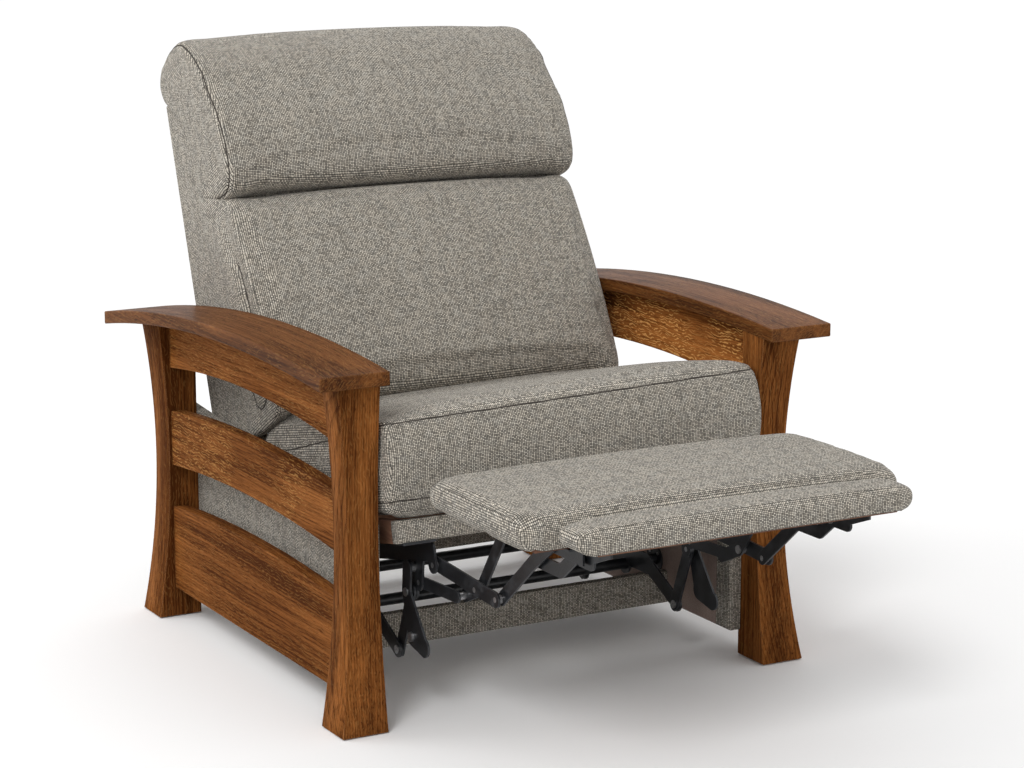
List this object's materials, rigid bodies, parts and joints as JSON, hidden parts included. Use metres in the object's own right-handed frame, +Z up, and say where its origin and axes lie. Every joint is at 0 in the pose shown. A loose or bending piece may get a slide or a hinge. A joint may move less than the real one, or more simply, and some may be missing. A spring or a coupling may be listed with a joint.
{
  "type": "reclining armchair",
  "caption": "Mission style reclining armchair with bent oak arms, slatted sides, tweed cushions and a footrest on folding steel links.",
  "frame": {"origin": "on the floor, under the middle of the chair's width and of its length with the footrest out", "axes": "+Z up, -Y the way the chair faces, +X to the right as seen from the front"},
  "size_m": [1.046, 1.6001, 1.1442],
  "materials": {
    "oak": "satin",
    "tweed": "woven",
    "nylon": "matte",
    "black_steel": "satin",
    "plated_steel": "satin",
    "spring_steel": "satin",
    "frame_wood": "matte"
  },
  "bodies": {
    "base": {"front_post_left": "oak", "front_post_right": "oak", "rear_post_left": "oak", "rear_post_right": "oak", "arm_left": "oak", "arm_right": "oak", "top_rail_left": "oak", "top_rail_right": "oak", "middle_rail_left": "oak", "middle_rail_right": "oak", "lower_rail_left": "oak", "lower_rail_right": "oak", "side_panel_left": "tweed", "side_panel_right": "tweed", "front_stretcher": "tweed", "rear_stretcher": "tweed", "floor_glides": "nylon", "base_plates": "black_steel", "base_cross_tubes": "black_steel", "base_fasteners": "plated_steel", "base_pivot_pins": "plated_steel"},
    "front_swing": {"front_swing_links": "black_steel"},
    "rear_swing": {"rear_swing_links": "black_steel"},
    "seat": {"seat_plates": "black_steel", "drive_levers": "black_steel", "seat_cross_tube": "black_steel", "seat_pivot_pins": "plated_steel", "seat_front_rail": "tweed", "seat_side_rails": "frame_wood", "seat_rear_rail": "frame_wood", "seat_springs": "spring_steel", "spring_clips": "plated_steel", "seat_hinge_brackets": "black_steel", "seat_cushion": "tweed"},
    "back": {"back_side_left": "tweed", "back_side_right": "tweed", "back_top_rail": "frame_wood", "back_bottom_rail": "frame_wood", "outer_back_panel": "tweed", "back_springs": "spring_steel", "back_hinge_brackets": "black_steel", "back_cushion": "tweed", "head_pillow": "tweed"},
    "long_link": {"long_links": "black_steel", "long_link_pins": "plated_steel"},
    "lever_link": {"lever_links": "black_steel", "lever_rivets": "plated_steel"},
    "control_link": {"control_links": "black_steel"},
    "bent_link": {"bent_links": "black_steel"},
    "ottoman": {"ottoman_brackets": "black_steel", "ottoman_pins": "plated_steel", "flipper_arms": "black_steel", "ottoman_board": "frame_wood", "ottoman_pad": "tweed"},
    "flipper": {"flipper_brackets": "black_steel", "flipper_board": "frame_wood", "flipper_pad": "tweed"}
  },
  "joints": [
    {"name": "glide", "type": "hinge", "parent": "base", "child": "front_swing", "pos_m": [0, -0.094, 0.097], "axis": [1, 0, 0], "range_deg": [-28, 0]},
    {"name": "seat_level", "type": "hinge", "parent": "front_swing", "child": "seat", "pos_m": [0, -0.141, 0.217], "axis": [1, 0, 0], "range_deg": [0, 28]},
    {"name": "rear_swing_pivot", "type": "hinge", "parent": "base", "child": "rear_swing", "pos_m": [0, 0.252, 0.075], "axis": [1, 0, 0], "range_deg": [-28, 0]},
    {"name": "long_link_pivot", "type": "hinge", "parent": "seat", "child": "long_link", "pos_m": [0, -0.215, 0.282], "axis": [1, 0, 0], "range_deg": [0, 153.7]},
    {"name": "lever_pivot", "type": "hinge", "parent": "ottoman", "child": "lever_link", "pos_m": [0, -0.443, 0.405], "axis": [1, 0, 0], "range_deg": [-62, 0]},
    {"name": "control_pivot", "type": "hinge", "parent": "seat", "child": "control_link", "pos_m": [0, -0.16, 0.237], "axis": [1, 0, 0], "range_deg": [0, 180.3]},
    {"name": "bent_link_pivot", "type": "hinge", "parent": "long_link", "child": "bent_link", "pos_m": [0, -0.425, 0.271], "axis": [1, 0, 0], "range_deg": [-103.6, 0]},
    {"name": "ottoman_pivot", "type": "hinge", "parent": "bent_link", "child": "ottoman", "pos_m": [0, -0.593, 0.405], "axis": [1, 0, 0], "range_deg": [0, 39.9]},
    {"name": "flipper_hinge", "type": "hinge", "parent": "ottoman", "child": "flipper", "pos_m": [0, -0.651, 0.397], "axis": [1, 0, 0], "range_deg": [0, 100]},
    {"name": "recline", "type": "hinge", "parent": "seat", "child": "back", "pos_m": [0, 0.352, 0.35], "axis": [1, 0, 0], "range_deg": [-30, 0]}
  ],
  "couplings": [
    {"joint": "seat_level", "follows": "glide", "ratio": -1},
    {"joint": "rear_swing_pivot", "follows": "glide", "ratio": 1},
    {"joint": "long_link_pivot", "follows": "glide", "ratio": -5.4893},
    {"joint": "lever_pivot", "follows": "glide", "ratio": 2.2143},
    {"joint": "control_pivot", "follows": "glide", "ratio": -6.4393},
    {"joint": "bent_link_pivot", "follows": "glide", "ratio": 3.7},
    {"joint": "ottoman_pivot", "follows": "glide", "ratio": -1.425},
    {"joint": "flipper_hinge", "follows": "glide", "ratio": -3.5714}
  ]
}
